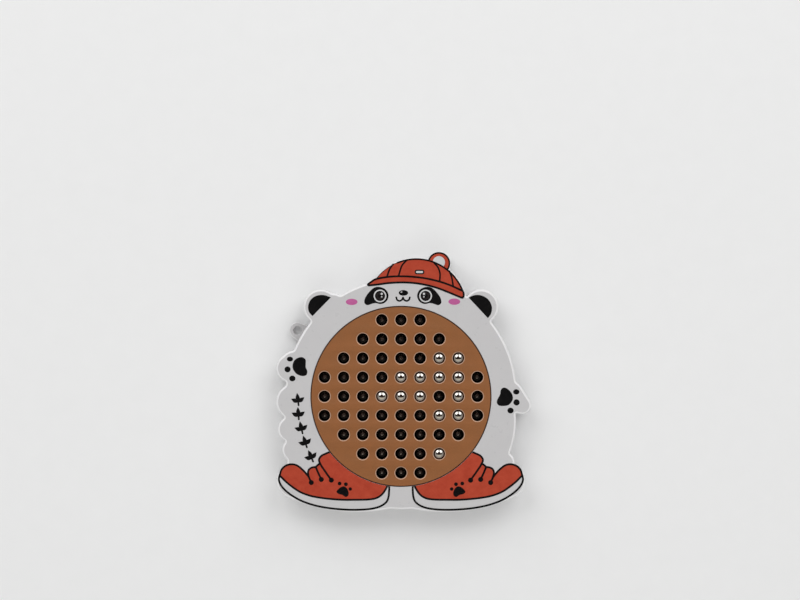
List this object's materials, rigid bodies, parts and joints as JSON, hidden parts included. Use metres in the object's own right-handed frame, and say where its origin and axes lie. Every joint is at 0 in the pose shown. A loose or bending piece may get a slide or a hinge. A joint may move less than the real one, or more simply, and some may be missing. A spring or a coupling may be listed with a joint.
{
  "type": "magnetic bead drawing board",
  "caption": "Flat panda-shaped drawing board: steel beads in a round plate are pulled up by a magnetic pen and pushed back down, with a keychain lug.",
  "frame": {"origin": "on the flat back face, straight under the middle bead of the grid", "axes": "+Z out of the drawing face, +Y towards the panda's cap, +X to the panda picture's right as it is looked at; the board lies on its back"},
  "size_m": [0.1067, 0.1088, 0.0128],
  "materials": {
    "white_plastic": "gloss",
    "tan_plate": "matte",
    "black_foam": "matte",
    "black_plastic": "matte",
    "screw_steel": "satin",
    "polished_steel": "polished",
    "red_print": "gloss",
    "black_print": "gloss",
    "pink_print": "gloss",
    "white_print": "gloss",
    "iris_print": "gloss"
  },
  "bodies": {
    "board": {"front_cover": "white_plastic", "bead_plate": "tan_plate", "grip_sheet": "black_foam", "well_tray": "black_plastic", "back_cover": "white_plastic", "cover_screws": "screw_steel"},
    "beads_top_row": {"beads_top_row": "polished_steel"},
    "beads_bottom_row": {"beads_bottom_row": "polished_steel"},
    "bead_r2_c3": {"bead_r2_c3": "polished_steel"},
    "bead_r2_c4": {"bead_r2_c4": "polished_steel"},
    "bead_r2_c5": {"bead_r2_c5": "polished_steel"},
    "bead_r2_c6": {"bead_r2_c6": "polished_steel"},
    "bead_r2_c7": {"bead_r2_c7": "polished_steel"},
    "bead_r3_c2": {"bead_r3_c2": "polished_steel"},
    "bead_r3_c3": {"bead_r3_c3": "polished_steel"},
    "bead_r3_c4": {"bead_r3_c4": "polished_steel"},
    "bead_r3_c5": {"bead_r3_c5": "polished_steel"},
    "bead_r3_c6": {"bead_r3_c6": "polished_steel"},
    "bead_r3_c7": {"bead_r3_c7": "polished_steel"},
    "bead_r3_c8": {"bead_r3_c8": "polished_steel"},
    "bead_r4_c1": {"bead_r4_c1": "polished_steel"},
    "bead_r4_c2": {"bead_r4_c2": "polished_steel"},
    "bead_r4_c3": {"bead_r4_c3": "polished_steel"},
    "bead_r4_c4": {"bead_r4_c4": "polished_steel"},
    "bead_r4_c5": {"bead_r4_c5": "polished_steel"},
    "bead_r4_c6": {"bead_r4_c6": "polished_steel"},
    "bead_r4_c7": {"bead_r4_c7": "polished_steel"},
    "bead_r4_c8": {"bead_r4_c8": "polished_steel"},
    "bead_r4_c9": {"bead_r4_c9": "polished_steel"},
    "bead_r5_c1": {"bead_r5_c1": "polished_steel"},
    "bead_r5_c2": {"bead_r5_c2": "polished_steel"},
    "bead_r5_c3": {"bead_r5_c3": "polished_steel"},
    "bead_r5_c4": {"bead_r5_c4": "polished_steel"},
    "bead_r5_c5": {"bead_r5_c5": "polished_steel"},
    "bead_r5_c6": {"bead_r5_c6": "polished_steel"},
    "bead_r5_c7": {"bead_r5_c7": "polished_steel"},
    "bead_r5_c8": {"bead_r5_c8": "polished_steel"},
    "bead_r5_c9": {"bead_r5_c9": "polished_steel"},
    "bead_r6_c1": {"bead_r6_c1": "polished_steel"},
    "bead_r6_c2": {"bead_r6_c2": "polished_steel"},
    "bead_r6_c3": {"bead_r6_c3": "polished_steel"},
    "bead_r6_c4": {"bead_r6_c4": "polished_steel"},
    "bead_r6_c5": {"bead_r6_c5": "polished_steel"},
    "bead_r6_c6": {"bead_r6_c6": "polished_steel"},
    "bead_r6_c7": {"bead_r6_c7": "polished_steel"},
    "bead_r6_c8": {"bead_r6_c8": "polished_steel"},
    "bead_r6_c9": {"bead_r6_c9": "polished_steel"},
    "bead_r7_c2": {"bead_r7_c2": "polished_steel"},
    "bead_r7_c3": {"bead_r7_c3": "polished_steel"},
    "bead_r7_c4": {"bead_r7_c4": "polished_steel"},
    "bead_r7_c5": {"bead_r7_c5": "polished_steel"},
    "bead_r7_c6": {"bead_r7_c6": "polished_steel"},
    "bead_r7_c7": {"bead_r7_c7": "polished_steel"},
    "bead_r7_c8": {"bead_r7_c8": "polished_steel"},
    "bead_r8_c3": {"bead_r8_c3": "polished_steel"},
    "bead_r8_c4": {"bead_r8_c4": "polished_steel"},
    "bead_r8_c5": {"bead_r8_c5": "polished_steel"},
    "bead_r8_c6": {"bead_r8_c6": "polished_steel"},
    "bead_r8_c7": {"bead_r8_c7": "polished_steel"}
  },
  "joints": [
    {"name": "beads_top_row_travel", "type": "slide", "parent": "board", "child": "beads_top_row", "axis": [0, 0, 1], "range_m": [0, 0.0046]},
    {"name": "beads_bottom_row_travel", "type": "slide", "parent": "board", "child": "beads_bottom_row", "axis": [0, 0, 1], "range_m": [0, 0.0046]},
    {"name": "bead_r2_c3_travel", "type": "slide", "parent": "board", "child": "bead_r2_c3", "axis": [0, 0, 1], "range_m": [0, 0.0046]},
    {"name": "bead_r2_c4_travel", "type": "slide", "parent": "board", "child": "bead_r2_c4", "axis": [0, 0, 1], "range_m": [0, 0.0046]},
    {"name": "bead_r2_c5_travel", "type": "slide", "parent": "board", "child": "bead_r2_c5", "axis": [0, 0, 1], "range_m": [0, 0.0046]},
    {"name": "bead_r2_c6_travel", "type": "slide", "parent": "board", "child": "bead_r2_c6", "axis": [0, 0, 1], "range_m": [0, 0.0046]},
    {"name": "bead_r2_c7_travel", "type": "slide", "parent": "board", "child": "bead_r2_c7", "axis": [0, 0, 1], "range_m": [0, 0.0046]},
    {"name": "bead_r3_c2_travel", "type": "slide", "parent": "board", "child": "bead_r3_c2", "axis": [0, 0, 1], "range_m": [0, 0.0046]},
    {"name": "bead_r3_c3_travel", "type": "slide", "parent": "board", "child": "bead_r3_c3", "axis": [0, 0, 1], "range_m": [0, 0.0046]},
    {"name": "bead_r3_c4_travel", "type": "slide", "parent": "board", "child": "bead_r3_c4", "axis": [0, 0, 1], "range_m": [0, 0.0046]},
    {"name": "bead_r3_c5_travel", "type": "slide", "parent": "board", "child": "bead_r3_c5", "axis": [0, 0, 1], "range_m": [0, 0.0046]},
    {"name": "bead_r3_c6_travel", "type": "slide", "parent": "board", "child": "bead_r3_c6", "axis": [0, 0, 1], "range_m": [0, 0.0046]},
    {"name": "bead_r3_c7_travel", "type": "slide", "parent": "board", "child": "bead_r3_c7", "axis": [0, 0, 1], "range_m": [-0.0046, 0]},
    {"name": "bead_r3_c8_travel", "type": "slide", "parent": "board", "child": "bead_r3_c8", "axis": [0, 0, 1], "range_m": [-0.0046, 0]},
    {"name": "bead_r4_c1_travel", "type": "slide", "parent": "board", "child": "bead_r4_c1", "axis": [0, 0, 1], "range_m": [0, 0.0046]},
    {"name": "bead_r4_c2_travel", "type": "slide", "parent": "board", "child": "bead_r4_c2", "axis": [0, 0, 1], "range_m": [0, 0.0046]},
    {"name": "bead_r4_c3_travel", "type": "slide", "parent": "board", "child": "bead_r4_c3", "axis": [0, 0, 1], "range_m": [0, 0.0046]},
    {"name": "bead_r4_c4_travel", "type": "slide", "parent": "board", "child": "bead_r4_c4", "axis": [0, 0, 1], "range_m": [0, 0.0046]},
    {"name": "bead_r4_c5_travel", "type": "slide", "parent": "board", "child": "bead_r4_c5", "axis": [0, 0, 1], "range_m": [-0.0046, 0]},
    {"name": "bead_r4_c6_travel", "type": "slide", "parent": "board", "child": "bead_r4_c6", "axis": [0, 0, 1], "range_m": [-0.0046, 0]},
    {"name": "bead_r4_c7_travel", "type": "slide", "parent": "board", "child": "bead_r4_c7", "axis": [0, 0, 1], "range_m": [-0.0046, 0]},
    {"name": "bead_r4_c8_travel", "type": "slide", "parent": "board", "child": "bead_r4_c8", "axis": [0, 0, 1], "range_m": [-0.0046, 0]},
    {"name": "bead_r4_c9_travel", "type": "slide", "parent": "board", "child": "bead_r4_c9", "axis": [0, 0, 1], "range_m": [0, 0.0046]},
    {"name": "bead_r5_c1_travel", "type": "slide", "parent": "board", "child": "bead_r5_c1", "axis": [0, 0, 1], "range_m": [0, 0.0046]},
    {"name": "bead_r5_c2_travel", "type": "slide", "parent": "board", "child": "bead_r5_c2", "axis": [0, 0, 1], "range_m": [0, 0.0046]},
    {"name": "bead_r5_c3_travel", "type": "slide", "parent": "board", "child": "bead_r5_c3", "axis": [0, 0, 1], "range_m": [0, 0.0046]},
    {"name": "bead_r5_c4_travel", "type": "slide", "parent": "board", "child": "bead_r5_c4", "axis": [0, 0, 1], "range_m": [-0.0046, 0]},
    {"name": "bead_r5_c5_travel", "type": "slide", "parent": "board", "child": "bead_r5_c5", "axis": [0, 0, 1], "range_m": [-0.0046, 0]},
    {"name": "bead_r5_c6_travel", "type": "slide", "parent": "board", "child": "bead_r5_c6", "axis": [0, 0, 1], "range_m": [-0.0046, 0]},
    {"name": "bead_r5_c7_travel", "type": "slide", "parent": "board", "child": "bead_r5_c7", "axis": [0, 0, 1], "range_m": [0, 0.0046]},
    {"name": "bead_r5_c8_travel", "type": "slide", "parent": "board", "child": "bead_r5_c8", "axis": [0, 0, 1], "range_m": [-0.0046, 0]},
    {"name": "bead_r5_c9_travel", "type": "slide", "parent": "board", "child": "bead_r5_c9", "axis": [0, 0, 1], "range_m": [0, 0.0046]},
    {"name": "bead_r6_c1_travel", "type": "slide", "parent": "board", "child": "bead_r6_c1", "axis": [0, 0, 1], "range_m": [0, 0.0046]},
    {"name": "bead_r6_c2_travel", "type": "slide", "parent": "board", "child": "bead_r6_c2", "axis": [0, 0, 1], "range_m": [0, 0.0046]},
    {"name": "bead_r6_c3_travel", "type": "slide", "parent": "board", "child": "bead_r6_c3", "axis": [0, 0, 1], "range_m": [0, 0.0046]},
    {"name": "bead_r6_c4_travel", "type": "slide", "parent": "board", "child": "bead_r6_c4", "axis": [0, 0, 1], "range_m": [0, 0.0046]},
    {"name": "bead_r6_c5_travel", "type": "slide", "parent": "board", "child": "bead_r6_c5", "axis": [0, 0, 1], "range_m": [0, 0.0046]},
    {"name": "bead_r6_c6_travel", "type": "slide", "parent": "board", "child": "bead_r6_c6", "axis": [0, 0, 1], "range_m": [0, 0.0046]},
    {"name": "bead_r6_c7_travel", "type": "slide", "parent": "board", "child": "bead_r6_c7", "axis": [0, 0, 1], "range_m": [-0.0046, 0]},
    {"name": "bead_r6_c8_travel", "type": "slide", "parent": "board", "child": "bead_r6_c8", "axis": [0, 0, 1], "range_m": [-0.0046, 0]},
    {"name": "bead_r6_c9_travel", "type": "slide", "parent": "board", "child": "bead_r6_c9", "axis": [0, 0, 1], "range_m": [0, 0.0046]},
    {"name": "bead_r7_c2_travel", "type": "slide", "parent": "board", "child": "bead_r7_c2", "axis": [0, 0, 1], "range_m": [0, 0.0046]},
    {"name": "bead_r7_c3_travel", "type": "slide", "parent": "board", "child": "bead_r7_c3", "axis": [0, 0, 1], "range_m": [0, 0.0046]},
    {"name": "bead_r7_c4_travel", "type": "slide", "parent": "board", "child": "bead_r7_c4", "axis": [0, 0, 1], "range_m": [0, 0.0046]},
    {"name": "bead_r7_c5_travel", "type": "slide", "parent": "board", "child": "bead_r7_c5", "axis": [0, 0, 1], "range_m": [0, 0.0046]},
    {"name": "bead_r7_c6_travel", "type": "slide", "parent": "board", "child": "bead_r7_c6", "axis": [0, 0, 1], "range_m": [0, 0.0046]},
    {"name": "bead_r7_c7_travel", "type": "slide", "parent": "board", "child": "bead_r7_c7", "axis": [0, 0, 1], "range_m": [0, 0.0046]},
    {"name": "bead_r7_c8_travel", "type": "slide", "parent": "board", "child": "bead_r7_c8", "axis": [0, 0, 1], "range_m": [0, 0.0046]},
    {"name": "bead_r8_c3_travel", "type": "slide", "parent": "board", "child": "bead_r8_c3", "axis": [0, 0, 1], "range_m": [0, 0.0046]},
    {"name": "bead_r8_c4_travel", "type": "slide", "parent": "board", "child": "bead_r8_c4", "axis": [0, 0, 1], "range_m": [0, 0.0046]},
    {"name": "bead_r8_c5_travel", "type": "slide", "parent": "board", "child": "bead_r8_c5", "axis": [0, 0, 1], "range_m": [0, 0.0046]},
    {"name": "bead_r8_c6_travel", "type": "slide", "parent": "board", "child": "bead_r8_c6", "axis": [0, 0, 1], "range_m": [0, 0.0046]},
    {"name": "bead_r8_c7_travel", "type": "slide", "parent": "board", "child": "bead_r8_c7", "axis": [0, 0, 1], "range_m": [-0.0046, 0]}
  ]
}
